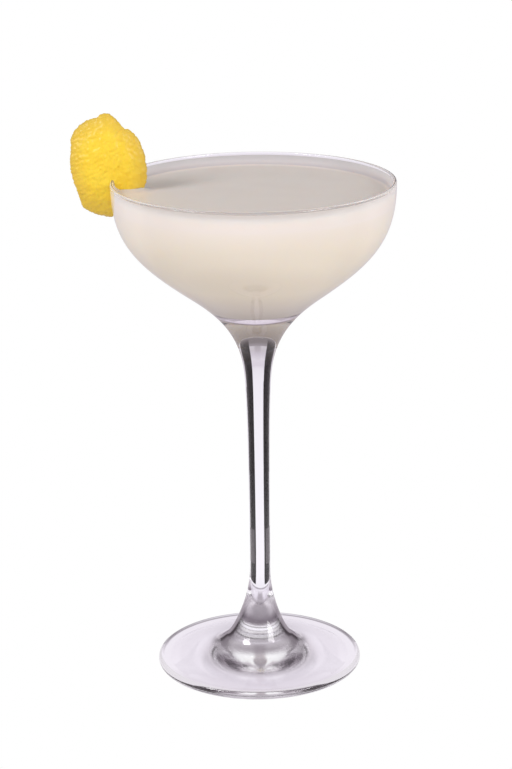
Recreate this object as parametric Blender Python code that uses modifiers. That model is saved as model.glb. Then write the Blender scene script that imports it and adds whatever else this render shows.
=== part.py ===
"""White sour in a stemmed coupe glass, with a slit disc of lemon peel pushed onto its rim.

Four solids, in metres, +Z up: the glass, the drink, its foam head and the peel. The foot stands
on z = 0. All four are placed from one empty on the glass's axis, which lies a little to the +X
side of the origin, so that the box around glass and peel is centred on the origin.
"""

import math
from collections import namedtuple

import bmesh
import bpy
from mathutils import Vector
from mathutils.geometry import interpolate_bezier

MM = 0.001

# Where the glass stands: its axis, from the middle of the box around glass and peel.
AXIS_X = 6.85 * MM

# The glass as a turned shape.
RIM_RADIUS = 47.5 * MM
GLASS_HEIGHT = 172.0 * MM
LIP_THICKNESS = 1.1 * MM
FOOT_RADIUS = 35.4 * MM
FOOT_EDGE = 3.2 * MM
FOOT_EDGE_CREASE = 108
FOOT_RING_WIDTH = 2.6 * MM
FOOT_HOLLOW = 1.0 * MM
STEM_RADIUS = 3.55 * MM
CAVITY_FLOOR = 129.1 * MM
TURN_STEPS = 48

# The drink and its foam head, measured down from the rim.
FOAM_LEVEL = 4.4 * MM
FOAM_CLIMB = 3.0 * MM
FOAM_CLIMB_WIDTH = 3.4 * MM
FOAM_BASE = 7.2 * MM
GAP = 0.3 * MM

# The disc of lemon peel, cut by hand from the round side of a lemon.
PEEL_THICKNESS = 1.8 * MM
LEMON_RADIUS_ACROSS = 25.0 * MM
LEMON_RADIUS_ALONG = 34.0 * MM
PEEL_MIDDLE_OUT = 48.0 * MM
PEEL_MIDDLE_BACK = 2.2 * MM
PEEL_MIDDLE_ABOVE_RIM = 5.5 * MM
PEEL_CELLS_ACROSS = 18
PEEL_CELLS_ALONG = 24
SLIT_DEPTH = 24.0 * MM
SLIT_FLARE = 0.9 * MM

# Its cut edge: millimetres across and up from its middle, anticlockwise from the side in the foam.
PEEL_OUTLINE = (
    (12.5, 0.6), (12.2, 2.9), (11.3, 5.0), (10.9, 7.0), (9.6, 8.7), (8.0, 10.1), (6.4, 11.4),
    (4.6, 12.6), (3.0, 14.6), (0.8, 16.5), (-1.2, 16.6), (-3.0, 15.7), (-4.7, 15.1), (-7.2, 14.3),
    (-9.4, 12.8), (-11.4, 10.8), (-12.6, 8.4), (-12.8, 5.7), (-12.9, 3.2), (-13.1, 1.0),
    (-13.2, -1.4), (-13.0, -3.8), (-12.2, -6.3), (-11.5, -8.8), (-10.7, -11.8), (-9.4, -15.8),
    (-7.0, -17.4), (-4.0, -18.8), (-0.8, -19.6), (3.5, -18.6), (7.5, -15.8), (10.4, -12.0),
    (12.2, -8.0), (12.8, -4.0),
)

# Heading is the way the profile runs: 0 is straight down, 90 straight in to the axis.
Knot = namedtuple("Knot", "radius height heading pull_before pull_after")


def knot(radius, height, heading, pull_before, pull_after):
    """A knot of a turned profile, its sizes given in millimetres."""
    return Knot(radius * MM, height * MM, math.radians(heading), pull_before * MM, pull_after * MM)


LIP_RADIUS = LIP_THICKNESS / 2
EDGE_RADIUS = FOOT_EDGE / 2
OUTSIDE = (
    knot(RIM_RADIUS / MM, (GLASS_HEIGHT - LIP_RADIUS) / MM, 0, 0, 18.2),
    knot(23.8, 134.0, 54, 20.7, 10.2),
    knot(4.75, 106.5, 6.4, 14.2, 8.4),
    knot(STEM_RADIUS / MM, 34.0, 0, 40.0, 11.0),
    knot(11.4, 9.4, -47, 3.0, 3.4),
    knot(19.5, 4.6, -79, 4.0, 4.0),
    knot(33.3, 3.12, -89, 6.0, 0),
)
OUTSIDE_STEPS = (8, 7, 4, 6, 3, 3)
INSIDE = (
    knot((RIM_RADIUS - LIP_THICKNESS) / MM, (GLASS_HEIGHT - LIP_RADIUS) / MM, 0, 0, 17.8),
    knot(22.9, 136.5, 56, 20.2, 8.0),
    knot(0, CAVITY_FLOOR / MM, 90, 7.0, 0),
)
INSIDE_STEPS = (8, 6)


def clear_scene():
    for item in list(bpy.data.objects):
        bpy.data.objects.remove(item, do_unlink=True)


def new_collection(name):
    made = bpy.data.collections.new(name)
    bpy.context.scene.collection.children.link(made)
    return made


def new_material(name, colour, roughness, transmission=0.0, ior=1.45):
    """A Principled finish with a plain colour, given as linear red, green and blue."""
    made = bpy.data.materials.new(name)
    made.use_nodes = True
    shader = made.node_tree.nodes["Principled BSDF"]
    shader.inputs["Base Color"].default_value = (*colour, 1.0)
    shader.inputs["Roughness"].default_value = roughness
    shader.inputs["Metallic"].default_value = 0.0
    shader.inputs["Transmission Weight"].default_value = transmission
    shader.inputs["IOR"].default_value = ior
    return made


def heading_vector(heading):
    """Unit direction, in radius and height, of a profile that runs at this heading."""
    return Vector((-math.sin(heading), -math.cos(heading)))


def run_through(knots, steps):
    """Points (radius, height) on one smooth curve through the knots, without doubled ends."""
    points = [Vector((knots[0].radius, knots[0].height))]
    for first, second, count in zip(knots, knots[1:], steps):
        start = Vector((first.radius, first.height))
        end = Vector((second.radius, second.height))
        handle_out = start + heading_vector(first.heading) * first.pull_after
        handle_in = end - heading_vector(second.heading) * second.pull_before
        points += interpolate_bezier(start, handle_out, handle_in, end, count + 1)[1:]
    return points


def arc(centre, radius, start_deg, end_deg, count):
    """Points on an arc in the radius and height plane, both ends included."""
    turns = [math.radians(start_deg + (end_deg - start_deg) * i / count) for i in range(count + 1)]
    return [centre + Vector((math.cos(t), math.sin(t))) * radius for t in turns]


def pushed_in(points, distance):
    """The points of a downward profile moved towards the axis side, square to the profile."""
    moved = []
    for i, point in enumerate(points):
        along = points[min(i + 1, len(points) - 1)] - points[max(i - 1, 0)]
        along.normalize()
        side = Vector((along.y, -along.x))
        moved.append(point + side * distance)
    moved[-1].x = max(moved[-1].x, 0.0)
    return moved


def radius_at(points, height):
    """Radius of a downward profile where it passes this height."""
    for upper, lower in zip(points, points[1:]):
        if upper.y >= height >= lower.y and upper.y > lower.y:
            share = (upper.y - height) / (upper.y - lower.y)
            return upper.x + (lower.x - upper.x) * share
    return points[0].x


def turned(name, profile, collection, material):
    """An object whose profile is a mesh of edges, turned about the glass's axis by a Screw."""
    mesh = bpy.data.meshes.new(name)
    corners = [(point.x, 0.0, point.y) for point in profile]
    edges = [(i, i + 1) for i in range(len(corners) - 1)]
    mesh.from_pydata(corners, edges, [])
    made = bpy.data.objects.new(name, mesh)
    collection.objects.link(made)
    made.parent = axis_empty
    screw = made.modifiers.new("turn", "SCREW")
    screw.axis = "Z"
    screw.angle = math.tau
    screw.steps = TURN_STEPS
    screw.render_steps = TURN_STEPS
    screw.use_merge_vertices = True
    screw.merge_threshold = 0.01 * MM
    screw.use_smooth_shade = True
    mesh.materials.append(material)
    return made


def cut_by(target, cutter, name):
    cut = target.modifiers.new(name, "BOOLEAN")
    cut.operation = "DIFFERENCE"
    cut.solver = "EXACT"
    cut.object = cutter


def as_cutter(item):
    item.hide_render = True
    item.display_type = "WIRE"
    return item


def foot_underside():
    """From the foot's edge in over the ring it stands on, then up into the shallow hollow."""
    ring_out = FOOT_RADIUS - EDGE_RADIUS
    ring_in = ring_out - FOOT_RING_WIDTH
    hollow = (
        Knot(ring_in, 0.0, math.radians(97), 0.0, 6 * MM),
        Knot(0.0, FOOT_HOLLOW, math.radians(90), 14 * MM, 0.0),
    )
    return run_through(hollow, (4,))


def glass_profile():
    """From the floor of the bowl up its inside, over the lip and down the outside to the foot."""
    inside = run_through(INSIDE, INSIDE_STEPS)
    outside = run_through(OUTSIDE, OUTSIDE_STEPS)
    lip_centre = Vector((RIM_RADIUS - LIP_RADIUS, GLASS_HEIGHT - LIP_RADIUS))
    edge_centre = Vector((FOOT_RADIUS - EDGE_RADIUS, EDGE_RADIUS))
    lip = arc(lip_centre, LIP_RADIUS, 180, 0, 4)
    edge = arc(edge_centre, EDGE_RADIUS, FOOT_EDGE_CREASE, -90, 5)
    return inside[:0:-1] + lip + outside[1:] + edge[1:] + foot_underside()


def drink_profile():
    """The drink from the middle of its top, out to the wall and down it to the bowl's floor."""
    top = GLASS_HEIGHT - FOAM_BASE - GAP / 2
    wall = pushed_in(run_through(INSIDE, INSIDE_STEPS), GAP)
    side = [point for point in wall if point.y < top - GAP]
    side[-1] = Vector((0.0, CAVITY_FLOOR + GAP))
    return [Vector((0.0, top)), Vector((radius_at(wall, top), top))] + side


def foam_profile():
    """The foam from the middle of its top: level, up the wall in a hollow curve, and underneath."""
    level = GLASS_HEIGHT - FOAM_LEVEL
    base = GLASS_HEIGHT - FOAM_BASE + GAP / 2
    wall = pushed_in(run_through(INSIDE, INSIDE_STEPS), GAP)
    brow = Vector((radius_at(wall, level + FOAM_CLIMB), level + FOAM_CLIMB))
    toe = Vector((brow.x - FOAM_CLIMB_WIDTH, level))
    climb = interpolate_bezier(
        toe, toe + Vector((FOAM_CLIMB_WIDTH * 0.7, 0)), brow - Vector((0, FOAM_CLIMB * 0.8)), brow, 7
    )
    side = [Vector((radius_at(wall, z), z)) for z in (level, (level + base) / 2, base)]
    return [Vector((0.0, level))] + climb + side + [Vector((0.0, base))]


def slit_profile():
    """The slit as a ring: the wall's inside less the gap, and a straight side that flares."""
    inside = pushed_in(run_through(INSIDE, INSIDE_STEPS), GAP)
    inside = [point for point in inside if point.y > GLASS_HEIGHT - SLIT_DEPTH]
    lip_centre = Vector((RIM_RADIUS - LIP_RADIUS, GLASS_HEIGHT - LIP_RADIUS))
    lip = arc(lip_centre, LIP_RADIUS + GAP, 180, 0, 6)
    ring = inside[:0:-1] + lip + [Vector((RIM_RADIUS + GAP + SLIT_FLARE, inside[-1].y))]
    return ring + [ring[0]]


def outline_radius(angle):
    """Distance of the cut edge from the peel's middle at this angle, smooth between its knots."""
    knots = sorted((math.atan2(up, out) % math.tau, math.hypot(out, up)) for out, up in PEEL_OUTLINE)
    count = len(knots)
    angle = angle % math.tau
    first = sum(1 for turn, _ in knots if turn <= angle) - 1
    around = [knots[(first + i) % count] for i in (-1, 0, 1, 2)]
    turn, radius = around[1]
    share = ((angle - turn) % math.tau) / ((around[2][0] - turn) % math.tau)
    r0, r1, r2, r3 = (item[1] for item in around)
    cubic = 3 * r1 - r0 - 3 * r2 + r3
    square = 2 * r0 - 5 * r1 + 4 * r2 - r3
    return MM * (r1 + 0.5 * share * (r2 - r0 + share * (square + share * cubic)))


def peel_surface(name, collection, material, grow=0.0):
    """The peel's skin side as an open sheet with the lemon's roundness, made solid behind it.

    The sheet is a square grid drawn into a disc, stretched to the outline and bent back at its
    edges. A positive grow makes the same shape larger all round, which cuts the room for the peel.
    """
    sheet = bmesh.new()
    bmesh.ops.create_grid(
        sheet, x_segments=PEEL_CELLS_ACROSS, y_segments=PEEL_CELLS_ALONG, size=1.0
    )
    for vertex in sheet.verts:
        u, v = vertex.co.x, vertex.co.y
        disc = Vector((u * math.sqrt(1 - v * v / 2), v * math.sqrt(1 - u * u / 2)))
        out = Vector((disc.x * 13, disc.y * 18))
        reach = outline_radius(math.atan2(out.y, out.x)) + grow
        across, along = (out.normalized() * reach * disc.length).to_tuple()
        sag = across ** 2 / (2 * LEMON_RADIUS_ACROSS) + along ** 2 / (2 * LEMON_RADIUS_ALONG)
        vertex.co = (across, sag - grow, along)
    bmesh.ops.recalc_face_normals(sheet, faces=sheet.faces)
    if sum(face.normal.y for face in sheet.faces) > 0:
        bmesh.ops.reverse_faces(sheet, faces=sheet.faces)
    mesh = bpy.data.meshes.new(name)
    sheet.to_mesh(mesh)
    sheet.free()
    mesh.materials.append(material)
    mesh.shade_smooth()
    made = bpy.data.objects.new(name, mesh)
    collection.objects.link(made)
    made.parent = axis_empty
    made.location = (-PEEL_MIDDLE_OUT, PEEL_MIDDLE_BACK, GLASS_HEIGHT + PEEL_MIDDLE_ABOVE_RIM)
    shell = made.modifiers.new("pith", "SOLIDIFY")
    shell.thickness = PEEL_THICKNESS + 2 * grow
    shell.offset = -1.0
    shell.use_even_offset = True
    return made


clear_scene()
parts = new_collection("white_sour")
cutters = new_collection("cutters")
axis_empty = bpy.data.objects.new("glass_axis", None)
axis_empty.location = (AXIS_X, 0.0, 0.0)
parts.objects.link(axis_empty)

clear_glass = new_material("clear_glass", (0.95, 0.96, 0.97), 0.0, transmission=1.0, ior=1.52)
milky_sour = new_material("milky_sour", (0.80, 0.70, 0.55), 0.35)
white_foam = new_material("white_foam", (0.87, 0.80, 0.76), 0.6)
lemon_skin = new_material("lemon_skin", (0.93, 0.55, 0.03), 0.4)

coupe = turned("coupe_glass", glass_profile(), parts, clear_glass)
drink = turned("sour_drink", drink_profile(), parts, milky_sour)
foam = turned("foam_head", foam_profile(), parts, white_foam)
peel = peel_surface("lemon_peel", parts, lemon_skin)

slit_cutter = as_cutter(turned("slit_cutter", slit_profile(), cutters, clear_glass))
peel_cutter = as_cutter(peel_surface("peel_cutter", cutters, lemon_skin, grow=GAP))
cut_by(peel, slit_cutter, "slit")
cut_by(foam, peel_cutter, "room_for_peel")
cut_by(drink, peel_cutter, "room_for_peel")
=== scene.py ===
# %% [markdown]
# # A white sour in a coupe glass
# The object is a cloudy white cocktail with a pale foam head, in a blown glass with a thin
# stem, and a slit disc of lemon peel is pushed onto the rim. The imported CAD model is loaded
# first: it fixes every size, and each piece made here takes the place of one of its solids.

import math
from collections import namedtuple

import bmesh
import bpy
import numpy as np
from mathutils import Matrix, Vector, noise
from mathutils.bvhtree import BVHTree
from mathutils.geometry import interpolate_bezier


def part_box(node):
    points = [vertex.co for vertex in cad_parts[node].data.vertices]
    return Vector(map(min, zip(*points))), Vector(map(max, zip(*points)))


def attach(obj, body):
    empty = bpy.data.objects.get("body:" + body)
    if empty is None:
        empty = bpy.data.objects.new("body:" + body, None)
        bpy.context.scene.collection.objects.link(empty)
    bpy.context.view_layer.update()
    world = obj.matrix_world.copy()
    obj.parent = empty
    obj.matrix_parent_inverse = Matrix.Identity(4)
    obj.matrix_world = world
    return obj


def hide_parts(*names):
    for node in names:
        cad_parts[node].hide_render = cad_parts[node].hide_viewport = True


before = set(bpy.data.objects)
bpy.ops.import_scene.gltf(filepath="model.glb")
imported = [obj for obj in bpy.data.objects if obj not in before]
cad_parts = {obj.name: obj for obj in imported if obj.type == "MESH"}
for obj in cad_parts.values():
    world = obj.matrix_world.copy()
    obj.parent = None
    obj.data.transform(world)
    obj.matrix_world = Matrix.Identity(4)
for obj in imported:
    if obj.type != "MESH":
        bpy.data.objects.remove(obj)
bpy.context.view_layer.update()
MM = 0.001

# %% [markdown]
# A glass, its drink and its foam are all turned shapes, so they share one axis. The peel hangs
# over one side of the rim, and the model's origin is in the middle of both together, so the
# axis stands a little to the side of it. Its place is read from the glass's own box.

# %% Find the axis of the glass
glass_low, glass_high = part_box("coupe_glass")
AXIS_X = (glass_low.x + glass_high.x) / 2
RIM_RADIUS = (glass_high.x - glass_low.x) / 2
GLASS_HEIGHT = glass_high.z
print(f"axis at x = {AXIS_X / MM:.2f} mm, rim {RIM_RADIUS * 2 / MM:.1f} mm across")

# %% [markdown]
# The photograph was taken from a little above the rim with a long lens. The rim and the foot
# show as two ellipses of different fullness, and those give the height, distance and lens of
# the camera. It was also held a touch out of level, so the camera is rolled by the same amount.

# %% Camera at the photograph's viewpoint
CAMERA_DISTANCE = 0.7518
CAMERA_HEIGHT = 0.3358
CAMERA_PITCH = math.radians(-17.33)
CAMERA_ROLL = math.radians(-0.74)
CAMERA_LENS = 108.4


def new_object(name, data):
    """An object in the scene, at the origin."""
    made = bpy.data.objects.new(name, data)
    bpy.context.scene.collection.objects.link(made)
    return made


camera_data = bpy.data.cameras.new("camera")
camera_data.lens = CAMERA_LENS
camera_data.sensor_width = 36.0
camera = new_object("camera", camera_data)
camera.matrix_world = (
    Matrix.Translation((AXIS_X, -CAMERA_DISTANCE, CAMERA_HEIGHT))
    @ Matrix.Rotation(math.radians(90) + CAMERA_PITCH, 4, "X")
    @ Matrix.Rotation(CAMERA_ROLL, 4, "Z")
)
bpy.context.scene.camera = camera
print(f"camera {CAMERA_DISTANCE:.2f} m away, lens {CAMERA_LENS} mm")

# %% [markdown]
# Four small helpers serve every finish below. Colours are written as sRGB hex values, the way
# a colour picker shows them, and Blender's shaders want linear light. One helper adds a node
# and fills each of its inputs with a value or with a link from another node.


# %% Helpers for colours and nodes
def linear(hex_colour, alpha=1.0):
    """An sRGB hex colour as linear red, green, blue and alpha."""
    parts = [int(hex_colour[i : i + 2], 16) / 255 for i in (1, 3, 5)]
    return (*[c / 12.92 if c <= 0.04045 else ((c + 0.055) / 1.055) ** 2.4 for c in parts], alpha)


def add(tree, kind, inputs=None, **settings):
    """Adds a node, sets its properties, then fills or links its inputs. A node given for an
    input stands for its first output."""
    node = tree.nodes.new(kind)
    for name, value in settings.items():
        setattr(node, name, value)
    for key, value in (inputs or {}).items():
        if isinstance(value, bpy.types.Node):
            value = value.outputs[0]
        if isinstance(value, bpy.types.NodeSocket):
            tree.links.new(value, node.inputs[key])
        else:
            node.inputs[key].default_value = value
    return node


def set_stops(ramp, stops):
    """Gives a colour ramp node its stops: pairs of a position and a hex colour, in order."""
    marks = ramp.color_ramp.elements
    for mark, (position, colour) in zip(marks, (stops[0], stops[-1])):
        mark.position = position
        mark.color = linear(colour)
    for position, colour in stops[1:-1]:
        marks.new(position).color = linear(colour)


def new_material(name):
    """An empty material with its node tree and its output, ready for a shader."""
    made = bpy.data.materials.new(name)
    made.use_nodes = True
    made.node_tree.nodes.clear()
    return made, made.node_tree, add(made.node_tree, "ShaderNodeOutputMaterial")


# %% [markdown]
# The outline of a turned piece is one smooth line. Each knot gives a point of it and the way
# the line runs there: 0 degrees is straight down and 90 is straight in towards the axis. The
# two pulls say how far the curve keeps to that direction before and after the knot. These are
# the same knots as in the CAD model, only read more finely.

# %% The outline of the glass
Knot = namedtuple("Knot", "radius height heading pull_before pull_after")


def knot(radius, height, heading, pull_before, pull_after):
    """A knot with its sizes given in millimetres and its heading in degrees."""
    return Knot(radius * MM, height * MM, math.radians(heading), pull_before * MM, pull_after * MM)


def heading_vector(heading):
    return Vector((-math.sin(heading), -math.cos(heading)))


def run_through(knots, steps):
    """Points (radius, height) on one smooth curve through the knots."""
    points = [Vector((knots[0].radius, knots[0].height))]
    for first, second, count in zip(knots, knots[1:], steps):
        start = Vector((first.radius, first.height))
        end = Vector((second.radius, second.height))
        handle_out = start + heading_vector(first.heading) * first.pull_after
        handle_in = end - heading_vector(second.heading) * second.pull_before
        points += interpolate_bezier(start, handle_out, handle_in, end, count + 1)[1:]
    return points


def arc(centre, radius, start_deg, end_deg, count):
    turns = [math.radians(start_deg + (end_deg - start_deg) * i / count) for i in range(count + 1)]
    return [centre + Vector((math.cos(t), math.sin(t))) * radius for t in turns]


LIP_RADIUS = 0.55 * MM
EDGE_RADIUS = 1.6 * MM
EDGE_CREASE = 108
FOOT_RADIUS = 35.4 * MM
CAVITY_FLOOR = 129.1 * MM
OUTSIDE = (
    knot(RIM_RADIUS / MM, (GLASS_HEIGHT - LIP_RADIUS) / MM, 0, 0, 18.2),
    knot(23.8, 134.0, 54, 20.7, 10.2),
    knot(4.75, 106.5, 6.4, 14.2, 8.4),
    knot(3.55, 34.0, 0, 40.0, 11.0),
    knot(11.4, 9.4, -47, 3.0, 3.4),
    knot(19.5, 4.6, -79, 4.0, 4.0),
    knot(33.3, 3.12, -89, 6.0, 0),
)
INSIDE = (
    knot((RIM_RADIUS - 2 * LIP_RADIUS) / MM, (GLASS_HEIGHT - LIP_RADIUS) / MM, 0, 0, 17.8),
    knot(22.9, 136.5, 56, 20.2, 8.0),
    knot(0, CAVITY_FLOOR / MM, 90, 7.0, 0),
)
UNDERSIDE = (
    knot(31.2, 0, 97, 0, 6),
    knot(0, 1.0, 90, 14, 0),
)
INSIDE_STEPS = (34, 26)
inside_wall = run_through(INSIDE, INSIDE_STEPS)
print(f"inside wall: {len(inside_wall)} points, floor at {inside_wall[-1].y / MM:.1f} mm")


def glass_outline():
    """From the bowl's floor up its inside, over the lip, down the outside and under the foot."""
    outside = run_through(OUTSIDE, (34, 26, 20, 40, 12, 14))
    lip_centre = Vector((RIM_RADIUS - LIP_RADIUS, GLASS_HEIGHT - LIP_RADIUS))
    edge_centre = Vector((FOOT_RADIUS - EDGE_RADIUS, EDGE_RADIUS))
    lip = arc(lip_centre, LIP_RADIUS, 180, 0, 12)
    edge = arc(edge_centre, EDGE_RADIUS, EDGE_CREASE, -90, 18)
    underside = run_through(UNDERSIDE, (20,))
    return inside_wall[:0:-1] + lip + outside[1:] + edge[1:] + underside


# %% [markdown]
# A turned shape follows a rule: every point of the outline goes once around the axis. The node
# tree below does just that. A grid has one row for each point of the outline and one column
# for each step around. Each grid point looks up its outline point by number, and is turned
# about the axis by its column's angle. The doubled seam and the poles are then merged.


# %% A node tree that turns an outline about the axis
def turning_tree():
    tree = bpy.data.node_groups.new("turn_an_outline", "GeometryNodeTree")
    face = tree.interface
    face.new_socket("Geometry", in_out="INPUT", socket_type="NodeSocketGeometry")
    face.new_socket("Steps Around", in_out="INPUT", socket_type="NodeSocketInt")
    face.new_socket("Merge Distance", in_out="INPUT", socket_type="NodeSocketFloat")
    face.new_socket("Material", in_out="INPUT", socket_type="NodeSocketMaterial")
    face.new_socket("Geometry", in_out="OUTPUT", socket_type="NodeSocketGeometry")
    entry = add(tree, "NodeGroupInput").outputs
    outline, around = entry["Geometry"], entry["Steps Around"]
    rows = add(tree, "GeometryNodeAttributeDomainSize", {"Geometry": outline}, component="MESH")
    rows = rows.outputs["Point Count"]
    columns = add(tree, "ShaderNodeMath", {0: around, 1: 1.0}, operation="ADD")
    grid = add(tree, "GeometryNodeMeshGrid", {"Vertices X": columns, "Vertices Y": rows})
    number = add(tree, "GeometryNodeInputIndex")
    row = add(tree, "ShaderNodeMath", {0: number, 1: rows}, operation="MODULO")
    share = add(tree, "ShaderNodeMath", {0: number, 1: rows}, operation="DIVIDE")
    column = add(tree, "ShaderNodeMath", {0: share}, operation="FLOOR")
    turn = add(tree, "ShaderNodeMath", {0: column, 1: around}, operation="DIVIDE")
    angle = add(tree, "ShaderNodeMath", {0: turn, 1: math.tau}, operation="MULTIPLY")
    place = add(tree, "GeometryNodeInputPosition")
    point = add(
        tree,
        "GeometryNodeSampleIndex",
        {"Geometry": outline, "Value": place, "Index": row},
        data_type="FLOAT_VECTOR",
        domain="POINT",
    )
    turned = add(
        tree,
        "ShaderNodeVectorRotate",
        {"Vector": point, "Angle": angle},
        rotation_type="Z_AXIS",
    )
    moved = add(tree, "GeometryNodeSetPosition", {"Geometry": grid, "Position": turned})
    merged = add(
        tree,
        "GeometryNodeMergeByDistance",
        {"Geometry": moved, "Distance": entry["Merge Distance"]},
    )
    real = add(tree, "GeometryNodeRealizeInstances", {"Geometry": merged})
    dressed = add(
        tree,
        "GeometryNodeSetMaterial",
        {"Geometry": real, "Material": entry["Material"]},
    )
    add(tree, "NodeGroupOutput", {"Geometry": dressed})
    return tree


TURNING = turning_tree()
print(f"node tree {TURNING.name}: {len(TURNING.nodes)} nodes")

# %% [markdown]
# The tree is given to an object as a modifier. Its inputs are set by identifier before Blender
# first evaluates the object. The result is kept as a plain mesh, so that later steps can move
# and cut its points, and the modifier goes with its source.


# %% Use the tree and keep a plain mesh
def set_inputs(modifier, **values):
    """Sets a Geometry Nodes modifier's inputs by their identifiers, found from their names."""
    for item in modifier.node_group.interface.items_tree:
        key = item.name.replace(" ", "_")
        if item.in_out == "INPUT" and key in values:
            modifier[item.identifier] = values[key]


def plain_mesh(name, source):
    """The evaluated result of an object's modifiers as a plain mesh object; the source goes."""
    graph = bpy.context.evaluated_depsgraph_get()
    mesh = bpy.data.meshes.new_from_object(source.evaluated_get(graph))
    mesh.name = name
    bpy.data.objects.remove(source, do_unlink=True)
    return new_object(name, mesh)


# %% [markdown]
# The real stem was drawn by hand, and its middle stands 0.7 mm to the side of the line from the
# rim to the foot. All turned pieces follow one rule for it, which fades out towards both ends.

# %% Turned pieces and the small offset of the stem
STEM_OFFSET = 0.7 * MM
OFFSET_TOP = 160 * MM
OFFSET_FADE = 42 * MM
SEAM_MERGE = 0.002 * MM
CREASE_ANGLE = math.radians(50)


def hand_drawn(height):
    """How far the glass stands to the side at this height: most at the stem, none at the ends."""
    rising = min(max(height / OFFSET_FADE, 0.0), 1.0)
    falling = min(max((OFFSET_TOP - height) / OFFSET_FADE, 0.0), 1.0)
    share = rising * falling
    return STEM_OFFSET * share * share * (3 - 2 * share)


def turned(name, outline, steps, material):
    """A closed turned piece, standing on the glass's axis with its faces pointing outwards."""
    line = bpy.data.meshes.new(name + "_outline")
    corners = [(point.x, 0.0, point.y) for point in outline]
    line.from_pydata(corners, [(i, i + 1) for i in range(len(corners) - 1)], [])
    source = new_object(name + "_outline", line)
    turning = source.modifiers.new("turn", "NODES")
    turning.node_group = TURNING
    set_inputs(turning, Steps_Around=steps, Merge_Distance=SEAM_MERGE, Material=material)
    made = plain_mesh(name, source)
    for vertex in made.data.vertices:
        vertex.co.x += AXIS_X + hand_drawn(vertex.co.z)
    shape = bmesh.new()
    shape.from_mesh(made.data)
    bmesh.ops.recalc_face_normals(shape, faces=shape.faces)
    shape.to_mesh(made.data)
    shape.free()
    made.data.shade_smooth()
    made.data.set_sharp_from_angle(angle=CREASE_ANGLE)
    print(f"{name}: {len(made.data.polygons)} faces")
    return made


# %% [markdown]
# The glass is clear soda-lime crystal, blown and fire polished, so its surface is optically
# smooth: roughness 0 and an index of refraction of 1.52. What the eye reads as glass is the
# room bent through it, so its look comes from the lights and from the dark cards that stand
# around the stem. Only the cone on the foot is slightly rough: it was drawn out by hand, which
# left faint waves in it. The roughness fades out up the stem and out over the plate.

# %% Where the blown glass is smooth and where it was worked
GLASS_IOR = 1.52
CONE_ROUGHNESS = 0.10
COLLAR_SHARE = 0.55
clear_glass, tree, output = new_material("blown_crystal_glass")
place = add(tree, "ShaderNodeTexCoord").outputs["Object"]
parts = add(tree, "ShaderNodeSeparateXYZ", {0: place}).outputs
height, rear = parts["Z"], parts["Y"]
offset = add(tree, "ShaderNodeVectorMath", {0: place, 1: (AXIS_X, 0, 0)}, operation="SUBTRACT")
flat = add(tree, "ShaderNodeVectorMath", {0: offset, 1: (1, 1, 0)}, operation="MULTIPLY")
out = add(tree, "ShaderNodeVectorMath", {0: flat}, operation="LENGTH").outputs["Value"]
near_cone, worked, above_plate, below_stem, collar_foot, collar_top = [
    add(
        tree,
        "ShaderNodeMapRange",
        {"Value": value, "From Min": low * MM, "From Max": high * MM, "To Max": most},
    )
    for value, low, high, most in (
        (out, 25, 19, 1.0),
        (height, 26, 14, CONE_ROUGHNESS),
        (height, 5, 8, 1.0),
        (height, 25, 15, 1.0),
        (height, 6.8, 8.6, COLLAR_SHARE),
        (height, 11.2, 8.6, COLLAR_SHARE),
    )
]
soft = add(tree, "ShaderNodeMath", {0: near_cone, 1: worked}, operation="MULTIPLY")
in_cone = add(tree, "ShaderNodeMath", {0: above_plate, 1: below_stem}, operation="MULTIPLY")

# %% [markdown]
# The cone is thick where it flares into the plate, and seen at a slant it mirrors the dark room
# beside the set. Its flanks and the collar at its base are therefore given a stronger gloss than
# a smooth glass has, which follows the slope of the glass and its height above the table.

# %% Gloss on the flanks and the collar of the cone
FLANK_GLOSS, FLANK_ROUGHNESS = "#B4AEB4", 0.10
slant = add(tree, "ShaderNodeLayerWeight", {"Blend": 0.5}).outputs["Facing"]
grazing = add(tree, "ShaderNodeMapRange", {"Value": slant, "From Min": 0.15, "From Max": 0.5})
flank = add(tree, "ShaderNodeMath", {0: in_cone, 1: grazing}, operation="MULTIPLY")
collar = add(tree, "ShaderNodeMath", {0: collar_foot, 1: collar_top}, operation="MINIMUM")
deep = add(tree, "ShaderNodeMath", {0: flank, 1: collar}, operation="MAXIMUM")
clear = add(
    tree,
    "ShaderNodeBsdfPrincipled",
    {
        "Base Color": linear("#FBFAFD"),
        "Roughness": soft,
        "IOR": GLASS_IOR,
        "Transmission Weight": 1.0,
    },
)
gloss = add(
    tree, "ShaderNodeBsdfGlossy", {"Color": linear(FLANK_GLOSS), "Roughness": FLANK_ROUGHNESS}
)
shader = add(tree, "ShaderNodeMixShader", {0: deep, 1: clear, 2: gloss})

# %% [markdown]
# Light that is trapped in the glass is followed for a limited number of bounces. Past that the
# glass glows with a painted average colour of the room. That painted light is darker in the rear
# of the foot, and there it paints the dark streaks that the bead at the front edge gathers.

# %% Painted glow for light trapped in the glass
DEEPEST_BOUNCE = 5.5
depth = add(tree, "ShaderNodeLightPath").outputs["Ray Depth"]
trapped = add(tree, "ShaderNodeMath", {0: depth, 1: DEEPEST_BOUNCE}, operation="GREATER_THAN")
in_rear = add(
    tree, "ShaderNodeMapRange", {"Value": rear, "From Min": 12 * MM, "From Max": 18 * MM}
)
# painted trapped light: pale towards the front, dark in the rear of the foot
layers = {0: in_rear, 6: linear("#E0DAE0"), 7: linear("#4A4448")}
painted_trapped_colour = add(tree, "ShaderNodeMix", layers, data_type="RGBA").outputs[2]
painted_trapped_glow = add(tree, "ShaderNodeEmission", {"Color": painted_trapped_colour})
bright = add(tree, "ShaderNodeMixShader", {0: trapped, 1: shader, 2: painted_trapped_glow})
tree.links.new(bright.outputs[0], output.inputs["Surface"])

# %% [markdown]
# The outline is turned in so many steps that the stem bends light without facets. Cycles gives
# clear glass a dark shadow unless it traces caustics, which are slow and grainy, so the glass
# casts no shadow, and the lights reach the drink through its wall.

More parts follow.
